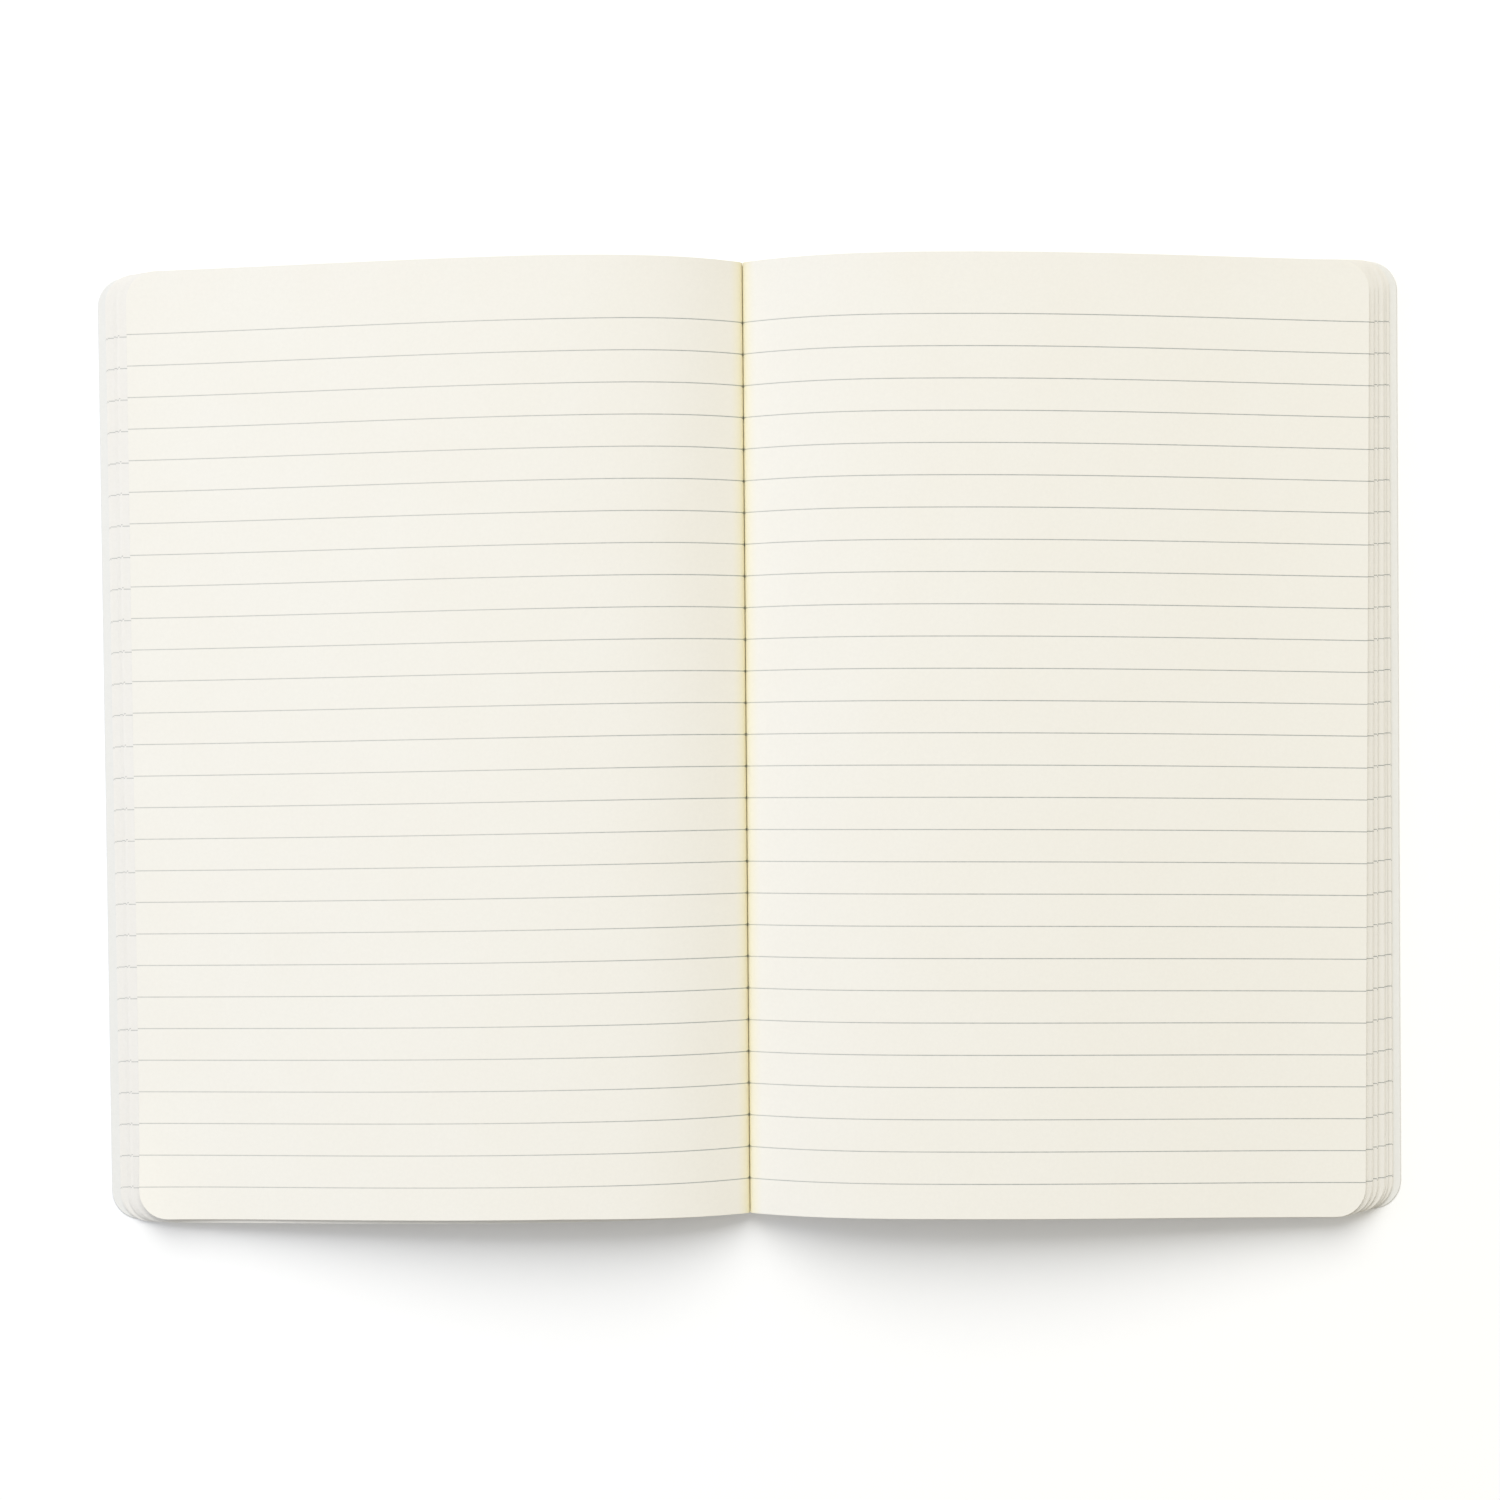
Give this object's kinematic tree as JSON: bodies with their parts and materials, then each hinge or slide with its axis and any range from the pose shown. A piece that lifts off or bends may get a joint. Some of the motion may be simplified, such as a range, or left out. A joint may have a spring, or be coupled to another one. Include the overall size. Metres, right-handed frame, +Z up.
{
  "type": "open composition notebook",
  "caption": "Soft-cover ruled notebook lying open, its leaves in two arches that meet at the gutter, with stepped, round-cornered fore-edges and hinged covers.",
  "frame": {"origin": "on the table, under the middle of the spine", "axes": "+X to the right page, +Y to the top edge of the pages, +Z up"},
  "size_m": [0.2888, 0.2112, 0.0139],
  "materials": {
    "page_paper": "matte",
    "cover_card": "matte"
  },
  "bodies": {
    "book": {"page_block": "page_paper", "spine": "cover_card"},
    "front_cover": {"front_cover": "cover_card"},
    "back_cover": {"back_cover": "cover_card"}
  },
  "joints": [
    {"name": "front_cover_hinge", "type": "hinge", "parent": "book", "child": "front_cover", "pos_m": [-0.00385, 0, 0], "axis": [0, -1, 0], "range_deg": [0, 90]},
    {"name": "back_cover_hinge", "type": "hinge", "parent": "book", "child": "back_cover", "pos_m": [0.00385, 0, 0], "axis": [0, 1, 0], "range_deg": [0, 90]}
  ]
}
